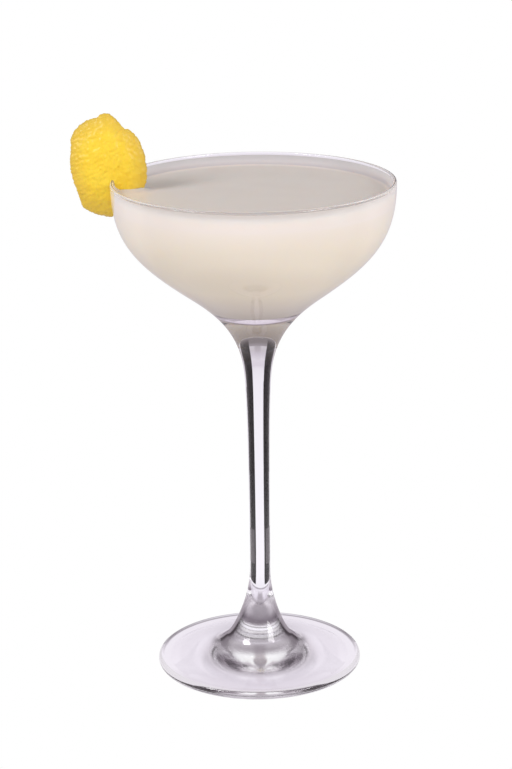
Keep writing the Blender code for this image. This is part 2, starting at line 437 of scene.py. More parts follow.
# %% The turned glass
FINE_STEPS = 256
coupe_glass = turned("blown_coupe", glass_outline(), FINE_STEPS, clear_glass)
coupe_glass.visible_shadow = False
coupe_glass.visible_diffuse = False

# %% [markdown]
# The drink fills the bowl to the underside of the foam, and both wet the wall, with no air
# between, so these pieces reach a little into the glass. Their side is the inside of the wall,
# moved outwards by that bite.

# %% Levels of the drink and the foam
WALL_BITE = 0.15 * MM
FOAM_LEVEL = GLASS_HEIGHT - 4.4 * MM
FOAM_BASE = GLASS_HEIGHT - 7.2 * MM
FOAM_CLIMB = 3.4 * MM
FOAM_CLIMB_WIDTH = 2.7 * MM


def pushed_out(points, distance):
    """A downward outline moved away from the axis, square to itself."""
    moved = []
    for i, point in enumerate(points):
        along = points[min(i + 1, len(points) - 1)] - points[max(i - 1, 0)]
        along.normalize()
        moved.append(point - Vector((along.y, -along.x)) * distance)
    return moved


def radius_at(points, height):
    """Radius of a downward outline where it passes this height."""
    for upper, lower in zip(points, points[1:]):
        if upper.y >= height >= lower.y and upper.y > lower.y:
            share = (upper.y - height) / (upper.y - lower.y)
            return upper.x + (lower.x - upper.x) * share
    return points[0].x


wet_wall = pushed_out(inside_wall, WALL_BITE)
wet_wall[-1] = Vector((0.0, CAVITY_FLOOR - WALL_BITE))
print(f"drink and foam meet at {FOAM_BASE / MM:.1f} mm, the foam is level at {FOAM_LEVEL / MM:.1f}")

# %% [markdown]
# The drink is lemon juice, spirit and egg white shaken together: a cloudy emulsion that
# scatters light a few millimetres deep. Its colour is warm above and painted greyer towards the
# stem, as shade where less light comes in. Light that meets it at a slant inside the wall is
# mirrored, as at any step from glass to water. The weak mirror of light that arrives squarely
# is left out.

# %% Cloudy sour
DRINK_IOR = 1.35
# warm drink tones, with painted shade greying them towards the stem
DRINK_TONES_AND_SHADE = (
    (0, "#B9AEAA"), (0.12, "#D4C8BF"), (0.35, "#F0E4D2"), (0.80, "#F4EADC"), (0.95, "#F4EAE0"),
    (1, "#F5EBE2"),
)
cloudy_sour, tree, output = new_material("cloudy_citrus_emulsion")
place = add(tree, "ShaderNodeTexCoord").outputs["Object"]
height = add(tree, "ShaderNodeSeparateXYZ", {0: place}).outputs["Z"]
depth = add(
    tree,
    "ShaderNodeMapRange",
    {"Value": height, "From Min": CAVITY_FLOOR, "From Max": FOAM_BASE},
)
tint = add(tree, "ShaderNodeValToRGB", {"Fac": depth})
set_stops(tint, DRINK_TONES_AND_SHADE)
soften = add(
    tree,
    "ShaderNodeMapRange",
    {"Value": height, "From Min": FOAM_BASE, "From Max": FOAM_BASE - 3 * MM, "To Max": 0.6},
)
shader = add(
    tree,
    "ShaderNodeBsdfPrincipled",
    {
        "Base Color": tint,
        "Roughness": 0.5,
        "IOR": DRINK_IOR,
        "Specular IOR Level": 0.0,
        "Subsurface Weight": soften,
        "Subsurface Radius": (1.0, 0.85, 0.6),
        "Subsurface Scale": 1.2 * MM,
    },
)
mirror = add(tree, "ShaderNodeBsdfGlossy", {"Color": linear("#E4DCE2"), "Roughness": 0.0})
share = add(tree, "ShaderNodeFresnel", {"IOR": DRINK_IOR / GLASS_IOR})
grazing = add(tree, "ShaderNodeMapRange", {"Value": share, "From Min": 0.2})
wet = add(tree, "ShaderNodeMixShader", {0: grazing, 1: shader, 2: mirror})
tree.links.new(wet.outputs[0], output.inputs["Surface"])

# %% [markdown]
# The drink is turned like the glass. Its outline runs out along the flat top and then down the
# wetted wall to the middle of the bowl's floor.

# %% The drink
DRINK_STEPS = 192
TOP_RINGS = 8
SIDE_GAP = 0.2 * MM
drink_radius = radius_at(wet_wall, FOAM_BASE)
drink_top = [Vector((drink_radius * i / TOP_RINGS, FOAM_BASE)) for i in range(TOP_RINGS + 1)]
drink_side = [point for point in wet_wall if point.y < FOAM_BASE - SIDE_GAP]
sour = turned("cloudy_sour", drink_top + drink_side, DRINK_STEPS, cloudy_sour)

# %% [markdown]
# The foam is a fine, wet head of shaken egg white. Real bubbles of about 0.1 mm are too small
# to show here, so a fine bump 0.45 mm apart stands for them. Soft drifts about 11 mm wide vary
# its white a little.

# %% Bubbles and drifts of wet egg-white foam
BUBBLE_PITCH = 0.45 * MM
DRIFT_WIDTH = 11 * MM
wet_foam, tree, output = new_material("wet_egg_white_foam")
place = add(tree, "ShaderNodeTexCoord").outputs["Object"]
pitch = {"Vector": place, "Scale": 1 / BUBBLE_PITCH}
bubbles = add(tree, "ShaderNodeTexVoronoi", pitch, feature="SMOOTH_F1")
drifts = add(tree, "ShaderNodeTexNoise", {"Vector": place, "Scale": 1 / DRIFT_WIDTH, "Detail": 3.0})
layers = {0: drifts, 6: linear("#F3E8E1"), 7: linear("#F7EEE8")}
tint = add(tree, "ShaderNodeMix", layers, data_type="RGBA")
relief = add(
    tree,
    "ShaderNodeBump",
    {"Height": bubbles.outputs["Distance"], "Distance": 0.05 * MM, "Strength": 0.35},
    invert=True,
)

# %% [markdown]
# Where the foam climbs the rear wall it is painted greyer, as shade where the foam meets the
# back of the glass. Light sinks into the foam less deeply towards its base, where the drink
# has its own scattering.

# %% Painted shade at the rear and the foam's shader
parts = add(tree, "ShaderNodeSeparateXYZ", {0: place}).outputs
height = parts["Z"]
rear = add(
    tree, "ShaderNodeMapRange", {"Value": parts["Y"], "From Min": -10 * MM, "From Max": 12 * MM}
)
lifted = add(
    tree,
    "ShaderNodeMapRange",
    {"Value": height, "From Min": FOAM_LEVEL + 0.1 * MM, "From Max": FOAM_LEVEL + 0.4 * MM},
)
# painted shade where the foam climbs the rear wall
rear_painted_shade = add(tree, "ShaderNodeMath", {0: rear, 1: lifted}, operation="MULTIPLY")
layers = {0: rear_painted_shade, 6: tint.outputs[2], 7: linear("#D2CCCF")}
tint = add(tree, "ShaderNodeMix", layers, data_type="RGBA")
soften = add(
    tree,
    "ShaderNodeMapRange",
    {"Value": height, "From Min": FOAM_BASE, "From Max": FOAM_LEVEL, "To Max": 0.5},
)
shader = add(
    tree,
    "ShaderNodeBsdfPrincipled",
    {
        "Base Color": tint.outputs[2],
        "Roughness": 0.55,
        "IOR": 1.34,
        "Subsurface Weight": soften,
        "Subsurface Radius": (1.0, 0.8, 0.65),
        "Subsurface Scale": 1.2 * MM,
        "Normal": relief,
    },
)
tree.links.new(shader.outputs[0], output.inputs["Surface"])

# %% [markdown]
# The foam lies level in the middle and climbs the wall in a hollow curve, because it wets the
# glass. The curve starts flat on the foam and ends nearly upright along the wall.


# %% The foam head
def foam_outline():
    """From the middle of the top: level, up the wall in a hollow curve, and underneath."""
    brow = Vector((radius_at(wet_wall, FOAM_LEVEL + FOAM_CLIMB), FOAM_LEVEL + FOAM_CLIMB))
    toe = Vector((brow.x - FOAM_CLIMB_WIDTH, FOAM_LEVEL))
    level = [Vector((toe.x * i / 60, FOAM_LEVEL)) for i in range(60)]
    bend_out = toe + Vector((FOAM_CLIMB_WIDTH * 0.7, 0))
    bend_up = brow - Vector((0, FOAM_CLIMB * 0.8))
    climb = interpolate_bezier(toe, bend_out, bend_up, brow, 16)
    heights = [FOAM_LEVEL + FOAM_CLIMB * (1 - i / 6) for i in range(1, 7)]
    heights += [FOAM_BASE + (FOAM_LEVEL - FOAM_BASE) * (1 - i / 6) for i in range(1, 7)]
    side = [Vector((radius_at(wet_wall, z), z)) for z in heights]
    bottom = [Vector((side[-1].x * (1 - i / 8), FOAM_BASE)) for i in range(1, 9)]
    return level + climb + side + bottom


foam = turned("foam_layer", foam_outline(), FINE_STEPS, wet_foam)

# %% [markdown]
# The garnish is a disc of lemon peel cut by hand from the round side of the fruit, with a slit
# from its lower edge so that it sits astride the rim. Its outline was measured from the
# photograph, in millimetres from its middle. The sheet is a grid drawn into a disc, stretched
# to that outline, bent to the lemon's roundness and given the thickness of zest and pith.

# %% The peel's outline
PEEL_THICKNESS = 1.8 * MM
LEMON_RADIUS_ACROSS = 25.0 * MM
LEMON_RADIUS_ALONG = 34.0 * MM
PEEL_MIDDLE = Vector((AXIS_X - 48.0 * MM, 2.2 * MM, GLASS_HEIGHT + 5.5 * MM))
PEEL_OUTLINE = (
    (12.5, 0.6), (12.2, 2.9), (11.4, 5.0), (10.9, 7.0), (9.7, 8.7), (8.3, 10.3), (7.1, 11.5),
    (5.7, 11.6), (4.6, 12.7), (3.0, 14.6), (0.8, 16.5), (-1.2, 16.7), (-2.7, 16.2), (-3.3, 15.4),
    (-4.7, 15.1), (-7.2, 14.3), (-9.4, 12.8), (-11.4, 10.8), (-12.6, 8.4), (-12.8, 5.7),
    (-12.9, 3.2), (-13.1, 1.0), (-13.2, -1.4), (-13.0, -3.8), (-12.2, -6.3), (-11.5, -8.8),
    (-10.7, -11.8), (-9.5, -15.7), (-7.0, -17.4), (-4.0, -18.8), (-0.8, -19.6), (3.5, -18.6),
    (7.5, -15.8), (10.4, -12.0), (12.2, -8.0), (12.8, -4.0),
)
outline_knots = sorted(
    (math.atan2(up, out) % math.tau, math.hypot(out, up) * MM) for out, up in PEEL_OUTLINE
)
knot_angles = np.array([turn for turn, _ in outline_knots])
knot_radii = np.array([radius for _, radius in outline_knots])
print(f"peel outline: {len(PEEL_OUTLINE)} points, {knot_radii.max() / MM:.1f} mm at the longest")


def outline_radius(angle):
    """Distance of the cut edge from the peel's middle at this angle."""
    return float(np.interp(angle % math.tau, knot_angles, knot_radii, period=math.tau))


# %% [markdown]
# The skin of a lemon has broad swellings, a fine grain and pits over its oil glands. A hand cut
# also wrinkles it on one side and frays its edge. All of these are real shape here, made by
# moving points out along the skin, so that light and outline both show them.

# %% Relief of the skin
SWELL_HEIGHT, GRAIN_HEIGHT, WRINKLE_HEIGHT, PIT_DEPTH = 0.26 * MM, 0.20 * MM, 0.30 * MM, 0.24 * MM
PIT_PITCH, PIT_RADIUS = 1.5 * MM, 0.40


def pitted(across, along):
    """Height of the skin over its smooth form: swellings, wrinkles, grain and oil-gland pits."""
    swell = noise.noise(Vector((across / (2.3 * MM), along / (2.3 * MM), 4.7)))
    grain = noise.noise(Vector((across / (1.0 * MM), along / (1.1 * MM), 9.1)))
    skew = (across * 0.88 + along * 0.48, along * 0.88 - across * 0.48)
    wrinkle = noise.noise(Vector((skew[0] / (3.0 * MM), skew[1] / (0.9 * MM), 2.3)))
    near = noise.voronoi(Vector((across / PIT_PITCH, along / PIT_PITCH, 0.3)))[0][0]
    pit = max(0.0, 1 - near / PIT_RADIUS)
    left = min(max(0.55 - across / (14 * MM), 0.0), 1.0)
    relief = SWELL_HEIGHT * swell + GRAIN_HEIGHT * grain
    return relief + WRINKLE_HEIGHT * left * wrinkle - PIT_DEPTH * pit * pit


# %% [markdown]
# A square grid is drawn into a disc, so that no point is a pole. Each point then goes out to
# the cut outline, back onto the lemon's roundness, and inwards by its layer's share of the
# thickness. The cut edge is rounded over a little on the side of the skin.

# %% One point of the peel
PEEL_HALF_SIZE = (13, 18)
FRAY_DEPTH = 0.30 * MM
EDGE_ROUNDING = 0.35 * MM
ROUNDED_SHARE = 0.05


def peel_point(u, v, layer):
    """A point of the peel: u and v run over the unit square, layer from skin 0 to pith 1."""
    disc = Vector((u * math.sqrt(1 - v * v / 2), v * math.sqrt(1 - u * u / 2)))
    out = Vector((disc.x * PEEL_HALF_SIZE[0], disc.y * PEEL_HALF_SIZE[1]))
    angle = math.atan2(out.y, out.x)
    frayed = 0.5 + 0.6 * noise.noise(Vector((angle * 16, 1.7, layer)))
    frayed += 0.5 * noise.noise(Vector((angle * 41, 5.2, layer)))
    reach = outline_radius(angle) - FRAY_DEPTH * max(frayed, 0.0) * disc.length**6
    across, along = (out.normalized() * reach * disc.length) if disc.length else (0.0, 0.0)
    slope = Vector((across / LEMON_RADIUS_ACROSS, -1.0, along / LEMON_RADIUS_ALONG))
    normal = -slope.normalized()
    sag = across**2 / (2 * LEMON_RADIUS_ACROSS) + along**2 / (2 * LEMON_RADIUS_ALONG)
    rounding = EDGE_ROUNDING * max(0.0, disc.length - (1 - ROUNDED_SHARE)) / ROUNDED_SHARE
    lift = (pitted(across, along) - rounding) * (1 - layer)
    lift += rounding * layer * 0.5
    skin = Vector((across, sag, along))
    return PEEL_MIDDLE + skin + normal * (PEEL_THICKNESS * layer - lift), disc.length


# %% [markdown]
# The peel is a closed block: a sheet of skin, a sheet of pith and a rim of narrow bands between
# them. Each point remembers how deep it lies and how near the edge, and the finish reads both.


# %% The peel as a block of layers
def peel_sheet(cells_across, cells_along, layers):
    """The peel as a closed block of layers, with its depth and its edge kept on each point."""
    shape = bmesh.new()
    depth_layer = shape.verts.layers.float.new("depth")
    edge_layer = shape.verts.layers.float.new("edge")
    stack = []
    for level in range(layers + 1):
        rows = []
        for j in range(cells_along + 1):
            row = []
            for i in range(cells_across + 1):
                u, v = 2 * i / cells_across - 1, 2 * j / cells_along - 1
                place, outward = peel_point(u, v, level / layers)
                vertex = shape.verts.new(place)
                vertex[depth_layer] = level / layers
                vertex[edge_layer] = outward
                row.append(vertex)
            rows.append(row)
        stack.append(rows)
    for rows in (stack[0], stack[-1]):
        for j in range(cells_along):
            for i in range(cells_across):
                shape.faces.new((rows[j][i], rows[j][i + 1], rows[j + 1][i + 1], rows[j + 1][i]))
    ring = [(0, i) for i in range(cells_across)]
    ring += [(j, cells_across) for j in range(cells_along)]
    ring += [(cells_along, cells_across - i) for i in range(cells_across)]
    ring += [(cells_along - j, 0) for j in range(cells_along)]
    for upper, lower in zip(stack, stack[1:]):
        for (j0, i0), (j1, i1) in zip(ring, ring[1:] + ring[:1]):
            shape.faces.new((upper[j0][i0], upper[j1][i1], lower[j1][i1], lower[j0][i0]))
    loose = [vertex for vertex in shape.verts if not vertex.link_faces]
    bmesh.ops.delete(shape, geom=loose, context="VERTS")
    bmesh.ops.recalc_face_normals(shape, faces=shape.faces)
    return shape


CELLS_ACROSS, CELLS_ALONG, PEEL_LAYERS = 110, 150, 5
peel_shape = peel_sheet(CELLS_ACROSS, CELLS_ALONG, PEEL_LAYERS)
peel_mesh = bpy.data.meshes.new("lemon_peel_disc")
peel_shape.to_mesh(peel_mesh)
peel_shape.free()
peel_mesh.shade_smooth()
peel = new_object("lemon_peel_disc", peel_mesh)
print(f"lemon_peel_disc: {len(peel_mesh.polygons)} faces")

# %% [markdown]
# Fresh lemon zest is a waxy, slightly oily skin with a gentle gloss, over matt white pith. The
# colour goes from zest to pith by the depth kept on each point. Near the cut edge the zest is
# painted darker, as shade where the skin curves away.

# %% Lemon zest over pith
lemon_skin, tree, output = new_material("lemon_zest_over_pith")
place = add(tree, "ShaderNodeTexCoord").outputs["Object"]
depth = add(tree, "ShaderNodeAttribute", attribute_name="depth").outputs["Fac"]
blotches = add(tree, "ShaderNodeTexNoise", {"Vector": place, "Scale": 1 / (5 * MM), "Detail": 4.0})
layers = {0: blotches, 6: linear("#FACB26"), 7: linear("#FFE04A")}
zest = add(tree, "ShaderNodeMix", layers, data_type="RGBA")
outward = add(tree, "ShaderNodeAttribute", attribute_name="edge").outputs["Fac"]
# painted shade: the zest darkens near the cut edge
edge_painted_shade = add(tree, "ShaderNodeMapRange", {"Value": outward, "From Min": 0.55, "To Max": 0.75})
layers = {0: edge_painted_shade, 6: zest.outputs[2], 7: linear("#D9B64E")}
zest = add(tree, "ShaderNodeMix", layers, data_type="RGBA")
pith_share = add(tree, "ShaderNodeMapRange", {"Value": depth, "From Min": 0.30, "From Max": 0.45})
layers = {0: pith_share, 6: zest.outputs[2], 7: linear("#F4EBCB")}
flesh = add(tree, "ShaderNodeMix", layers, data_type="RGBA")
grain = add(tree, "ShaderNodeTexNoise", {"Vector": place, "Scale": 1 / (0.5 * MM), "Detail": 3.0})
relief = add(tree, "ShaderNodeBump", {"Height": grain, "Distance": 0.05 * MM, "Strength": 0.5})
shader = add(
    tree,
    "ShaderNodeBsdfPrincipled",
    {
        "Base Color": flesh.outputs[2],
        "Roughness": 0.34,
        "IOR": 1.42,
        "Subsurface Weight": 0.15,
        "Subsurface Radius": (1.0, 0.7, 0.15),
        "Subsurface Scale": 0.7 * MM,
        "Normal": relief,
    },
)
tree.links.new(shader.outputs[0], output.inputs["Surface"])
peel_mesh.materials.append(lemon_skin)

# %% [markdown]
# The slit is a straight knife cut. Its outer side stands upright just outside the rim, and its
# inner side hugs the inside of the wall, so a turned ring with that section cuts it. The ring
# is wider than the wall by a twentieth of a millimetre inside, and by about one outside.

# %% Cut the slit
SLIT_PLAY = 0.05 * MM
SLIT_OUTER_PLAY = 0.9 * MM
SLIT_REACH = 24 * MM
slit_foot = GLASS_HEIGHT - SLIT_REACH
slit_in = [point for point in pushed_out(inside_wall, -SLIT_PLAY) if point.y > slit_foot]
lip_centre = Vector((RIM_RADIUS - LIP_RADIUS, GLASS_HEIGHT - LIP_RADIUS))
slit_ring = slit_in[:0:-1] + arc(lip_centre, LIP_RADIUS + SLIT_PLAY, 180, 0, 12)
slit_ring.append(Vector((RIM_RADIUS + SLIT_PLAY + SLIT_OUTER_PLAY, slit_in[-1].y)))
slit_ring.append(slit_ring[0].copy())
slit_cutter = turned("slit_cutter", slit_ring, FINE_STEPS, lemon_skin)
cut = peel.modifiers.new("slit", "BOOLEAN")
cut.operation = "DIFFERENCE"
cut.solver = "EXACT"
cut.object = slit_cutter
peel = plain_mesh("lemon_peel_slit", peel)
bpy.data.objects.remove(slit_cutter, do_unlink=True)
print(f"{peel.name}: {len(peel.data.polygons)} faces after the slit")

# %% [markdown]
# Where the peel stands in the foam, the foam clings to it and rises a little, as it does at the
# glass. The foam's top is also not quite flat. Both are small moves of its own points.

# %% Let the foam cling to the peel
CLING_HEIGHT, CLING_REACH = 1.3 * MM, 1.8 * MM
SWELL_WIDTH, FOAM_SWELL = 9 * MM, 0.10 * MM
FLAT_FROM, FLAT_FADE = 41 * MM, 4 * MM
FOAM_CEILING = GLASS_HEIGHT - 0.8 * MM


def settle_foam():
    graph = bpy.context.evaluated_depsgraph_get()
    skin = BVHTree.FromObject(peel, graph)
    for vertex in foam.data.vertices:
        point = vertex.co
        if point.z < FOAM_LEVEL - 0.1 * MM:
            continue
        out = math.hypot(point.x - AXIS_X, point.y)
        free = 1 - min(max((out - FLAT_FROM) / FLAT_FADE, 0.0), 1.0)
        swell = noise.noise(Vector((point.x / SWELL_WIDTH, point.y / SWELL_WIDTH, 3.3)))
        lift = FOAM_SWELL * swell * free
        gap = skin.find_nearest(point)[3]
        lift += CLING_HEIGHT * math.exp(-gap / CLING_REACH)
        vertex.co.z = min(point.z + lift, FOAM_CEILING)


settle_foam()
print(f"foam top at {max(vertex.co.z for vertex in foam.data.vertices) / MM:.2f} mm")

# %% [markdown]
# The set is a pale table under soft studio light. The camera sees it plain white. What the
# glass bends is the table under and behind its foot, and there shadows are painted on it as
# soft grey rings: painted shade below the cone, a thin dark line of painted contact shadow
# below the edge of the foot, and pale ground between them.

# %% Painted rings of shadow under the foot
TABLE_REACH = 60 * MM
TABLE_SHADE = "#B4ADB4"
# painted shadows on the table, by distance from the axis in millimetres
TABLE_SHADOW_RINGS = (
    (0, TABLE_SHADE), (3, "#BCB5BC"), (6.5, "#F4EEF4"), (12, "#BEB6BE"), (18, "#E6DFE8"),
    (21, "#F4EEF7"), (33.8, "#F8F3FA"), (34.8, "#8A828A"), (36.0, "#FBF8FE"), (60, "#FDFAFF"),
)
table_glow_and_painted_shade, tree, output = new_material("white_light_table")
place = add(tree, "ShaderNodeTexCoord").outputs["Object"]
offset = add(tree, "ShaderNodeVectorMath", {0: place, 1: (AXIS_X, 0, 0)}, operation="SUBTRACT")
away = add(tree, "ShaderNodeVectorMath", {0: offset}, operation="LENGTH")
away = away.outputs["Value"]
reach = add(tree, "ShaderNodeMapRange", {"Value": away, "From Max": TABLE_REACH})
shadow_rings = add(tree, "ShaderNodeValToRGB", {"Fac": reach})
set_stops(shadow_rings, [(radius * MM / TABLE_REACH, colour) for radius, colour in TABLE_SHADOW_RINGS])
print(f"table: {len(TABLE_SHADOW_RINGS)} rings within {TABLE_REACH / MM:.0f} mm of the axis")

# %% [markdown]
# A narrow painted shadow of the stem also runs under the middle of the foot, the front is
# painted a little greyer as shade, and the table is painted dimmer towards the horizon. Each is
# a share that rises between two distances. The shadow strip is left where a point is beside
# it, behind it or before it.

# %% Painted stem shadow, front shade and horizon of the table
sides = add(tree, "ShaderNodeSeparateXYZ", {0: offset}).outputs
aside = add(tree, "ShaderNodeMath", {0: sides["X"]}, operation="ABSOLUTE")
beside, behind, before, front, horizon, far, rear = [
    add(
        tree,
        "ShaderNodeMapRange",
        {"Value": value, "From Min": low * MM, "From Max": high * MM, "To Max": most},
    )
    for value, low, high, most in (
        (aside, 2, 4.5, 1.0),
        (sides["Y"], 27, 32, 1.0),
        (sides["Y"], -4, -7, 1.0),
        (sides["Y"], -12, -22, 0.5),
        (away, 150, 1100, 1.0),
        (away, 110, 180, 1.0),
        (sides["Y"], 0, 120, 1.0),
    )
]
outside = add(tree, "ShaderNodeMath", {0: behind, 1: before}, operation="MAXIMUM")
clear = add(tree, "ShaderNodeMath", {0: beside, 1: outside}, operation="MAXIMUM")
# painted shadows: the rings and the stem's strip, then the front shade and the dimmer horizon
layers = {0: clear, 6: linear(TABLE_SHADE), 7: shadow_rings}
shaded = add(tree, "ShaderNodeMix", layers, data_type="RGBA").outputs[2]
for share, colour in ((front, "#D4CCD6"), (horizon, "#DDD6DF")):
    layers = {0: share, 6: shaded, 7: linear(colour)}
    shaded = add(tree, "ShaderNodeMix", layers, data_type="RGBA").outputs[2]

# %% [markdown]
# The glass mirrors the table too, and what it mirrors is a painted reflection: pale near the
# foot, farther off darker in front than behind, and this gives the bowl its light outline. A ray
# tells the shader what it is: one that was mirrored, one that was bent or one straight from the
# camera.

# %% What is mirrored, bent and seen of the table
BENT_STRENGTH = 1.04
TABLE_SIZE = 12.0
# painted reflection of the table: dark in front, paler behind and near the foot
layers = {0: rear, 6: linear("#6A6468"), 7: linear("#D2CCD2")}
distance = add(tree, "ShaderNodeMix", layers, data_type="RGBA").outputs[2]
layers = {0: far, 6: linear("#E6E2E6"), 7: distance}
painted_reflection = add(tree, "ShaderNodeMix", layers, data_type="RGBA").outputs[2]
path = add(tree, "ShaderNodeLightPath").outputs
top = add(tree, "ShaderNodeEmission", {"Color": painted_reflection})
for kind, colour, strength in (
    ("Is Transmission Ray", shaded, BENT_STRENGTH),
    ("Is Camera Ray", linear("#FFFFFF"), 1.0),
):
    glow = add(tree, "ShaderNodeEmission", {"Color": colour, "Strength": strength})
    top = add(tree, "ShaderNodeMixShader", {0: path[kind], 1: top, 2: glow})
tree.links.new(top.outputs[0], output.inputs["Surface"])
bpy.ops.mesh.primitive_plane_add(size=TABLE_SIZE, location=(0, 0, 0))
floor = bpy.context.object
floor.name = "table_top"
floor.data.materials.append(table_glow_and_painted_shade)
floor.visible_diffuse = False
floor.visible_shadow = False

# %% [markdown]
# Glass on a bright ground has no outline of its own, so photographers stand black cards beside
# it, out of the camera's view: the stem bends them into its two dark edges. A black card pales
# towards its top. Met deep in the glass, past two bounces, it is pale all over, so that the
# bowl doesn't mirror it as dark strokes. Grey cards shade the neck and the cone.

# %% Finishes of the cards
CARD_TOP = 150 * MM
DEEP_BOUNCE = 2.5
BLACK_CARD = (
    (0, "#1A1618"), (0.70, "#1A1618"), (0.86, "#2E282B"), (0.90, "#4E4649"), (1, "#958C90"),
)
GREY_CARD = (
    (0, "#5E585C"), (0.30, "#5E585C"), (0.84, "#A29AA0"), (0.89, "#80787A"), (1, "#80787A"),
)


def card_finish(name, stops, deep_colour=None):
    """A glowing card with a colour for each share of its height, and one for deep bounces."""
    made, tree, output = new_material(name)
    place = add(tree, "ShaderNodeTexCoord").outputs["Object"]
    up = add(tree, "ShaderNodeSeparateXYZ", {0: place}).outputs["Z"]
    height = add(tree, "ShaderNodeMapRange", {"Value": up, "From Max": CARD_TOP})
    fade = add(tree, "ShaderNodeValToRGB", {"Fac": height})
    set_stops(fade, stops)
    shade = fade
    if deep_colour:
        depth = add(tree, "ShaderNodeLightPath").outputs["Ray Depth"]
        deep = add(tree, "ShaderNodeMath", {0: depth, 1: DEEP_BOUNCE}, operation="GREATER_THAN")
        layers = {0: deep, 6: shade, 7: linear(deep_colour)}
        shade = add(tree, "ShaderNodeMix", layers, data_type="RGBA").outputs[2]
    glow = add(tree, "ShaderNodeEmission", {"Color": shade})
    tree.links.new(glow.outputs[0], output.inputs["Surface"])
    return made


# %% [markdown]
# Each quarter around the glass has one black card, which lies on the table and then stands up
# close to the stem. Every second one is a mirror image, so that the gaps between them face the
# camera and the three other sides. Grey bands hang high in those gaps and low beside the cone.

# %% Shape of the cards
CARD_INNER, CARD_OUTER, CARD_FOOT = 42 * MM, 450 * MM, 55 * MM
CARD_FROM, CARD_TO = 17.5, 62
CARD_TOP_FROM, CARD_TOP_TO = 12, 38
CARD_STEPS, BAND_STEPS = 8, 6
TABLE_GAP = 0.5 * MM
BAND_REACH = 43 * MM
HIGH_FOOT = 127 * MM
LOW_FROM, LOW_FOOT, LOW_TOP = 23, 19 * MM, 33 * MM
corners, faces = [], []


def around_axis(reach, degrees, rise):
    """A point at this distance from the glass's axis; 0 degrees is straight behind it."""
    turn = math.radians(degrees)
    return (AXIS_X + reach * math.sin(turn), reach * math.cos(turn), rise)


def add_black_card(quarter):
    """A card that lies on the table from far out to the stem, and then stands up."""
    for step in range(CARD_STEPS + 1):
        lower = CARD_FROM + (CARD_TO - CARD_FROM) * step / CARD_STEPS
        upper = CARD_TOP_FROM + (CARD_TOP_TO - CARD_TOP_FROM) * step / CARD_STEPS
        for reach, rise, share in (
            (CARD_INNER, TABLE_GAP, lower),
            (CARD_OUTER, TABLE_GAP, lower),
            (CARD_INNER, CARD_FOOT, lower),
            (CARD_INNER, CARD_TOP, upper),
        ):
            degrees = 90 * quarter + (90 - share if quarter % 2 else share)
            corners.append(around_axis(reach, degrees, rise))
        if step:
            for first in (len(corners) - 8, len(corners) - 6):
                faces.append((first, first + 4, first + 5, first + 1))


def add_grey_band(start, end, foot, top):
    """An upright strip around the glass from one angle to another."""
    for step in range(BAND_STEPS + 1):
        degrees = start + (end - start) * step / BAND_STEPS
        corners.extend(around_axis(BAND_REACH, degrees, rise) for rise in (foot, top))
        if step:
            first = len(corners) - 4
            faces.append((first, first + 2, first + 3, first + 1))


# %% [markdown]
# All the cards are one mesh with two finishes. The camera, matt surfaces and the mirror on the
# glass don't see them, and they cast no shadow: only light that is bent through glass does.

# %% Build the cards
for quarter in range(4):
    add_black_card(quarter)
black_faces = len(faces)
for quarter in range(4):
    middle = 90 * quarter
    add_grey_band(middle - CARD_FROM, middle + CARD_FROM, HIGH_FOOT, CARD_TOP)
    add_grey_band(middle + LOW_FROM, middle + 90 - LOW_FROM, LOW_FOOT, LOW_TOP)
card_mesh = bpy.data.meshes.new("dark_cards")
card_mesh.from_pydata(corners, [], faces)
card_mesh.materials.append(card_finish("black_card", BLACK_CARD, "#C8C0C6"))
card_mesh.materials.append(card_finish("grey_card", GREY_CARD))
for face in card_mesh.polygons[black_faces:]:
    face.material_index = 1
cards = new_object("dark_cards", card_mesh)
cards.visible_camera = False
cards.visible_diffuse = False
cards.visible_glossy = False
cards.visible_shadow = False
print(f"dark_cards: {black_faces} black and {len(faces) - black_faces} grey faces")

# %% [markdown]
# A large soft light stands to the front left and throws the peel's shadow back across the foam.
# A slightly weaker one fills from the front right. The camera doesn't see the lights, and the
# glass doesn't bend them, so that they leave no bright flecks in the foot.

# %% Lights
LIGHT_TARGET = Vector((AXIS_X, 0, 0.15))


def soft_light(name, azimuth, elevation, distance, width, height, power):
    """An area light at an azimuth from the camera's side, aimed at the bowl."""
    data = bpy.data.lights.new(name, "AREA")
    data.shape = "RECTANGLE"
    data.size = width
    data.size_y = height
    data.energy = power
    made = new_object(name, data)
    a, e = math.radians(azimuth), math.radians(elevation)
    away = Vector((math.sin(a) * math.cos(e), -math.cos(a) * math.cos(e), math.sin(e)))
    made.location = LIGHT_TARGET + away * distance
    made.rotation_mode = "QUATERNION"
    made.rotation_quaternion = away.to_track_quat("Z", "Y")
    made.visible_camera = False
    made.visible_transmission = False
    return made


soft_light("key_left", -58, 36, 0.9, 0.35, 0.35, 3.0)
soft_light("fill_right", 50, 22, 1.0, 0.40, 0.40, 3.4)

# %% [markdown]
# The world is made of lists of colours, one colour for each height of a direction, from -1
# straight down to 1 straight up. FILL is the low even light on matt surfaces. The next three
# are what the glass bends, and ROOM is what it mirrors: a dark room with a pale ceiling. They
# were matched to the greys that the bowl, the stem and the foot show in the photograph.

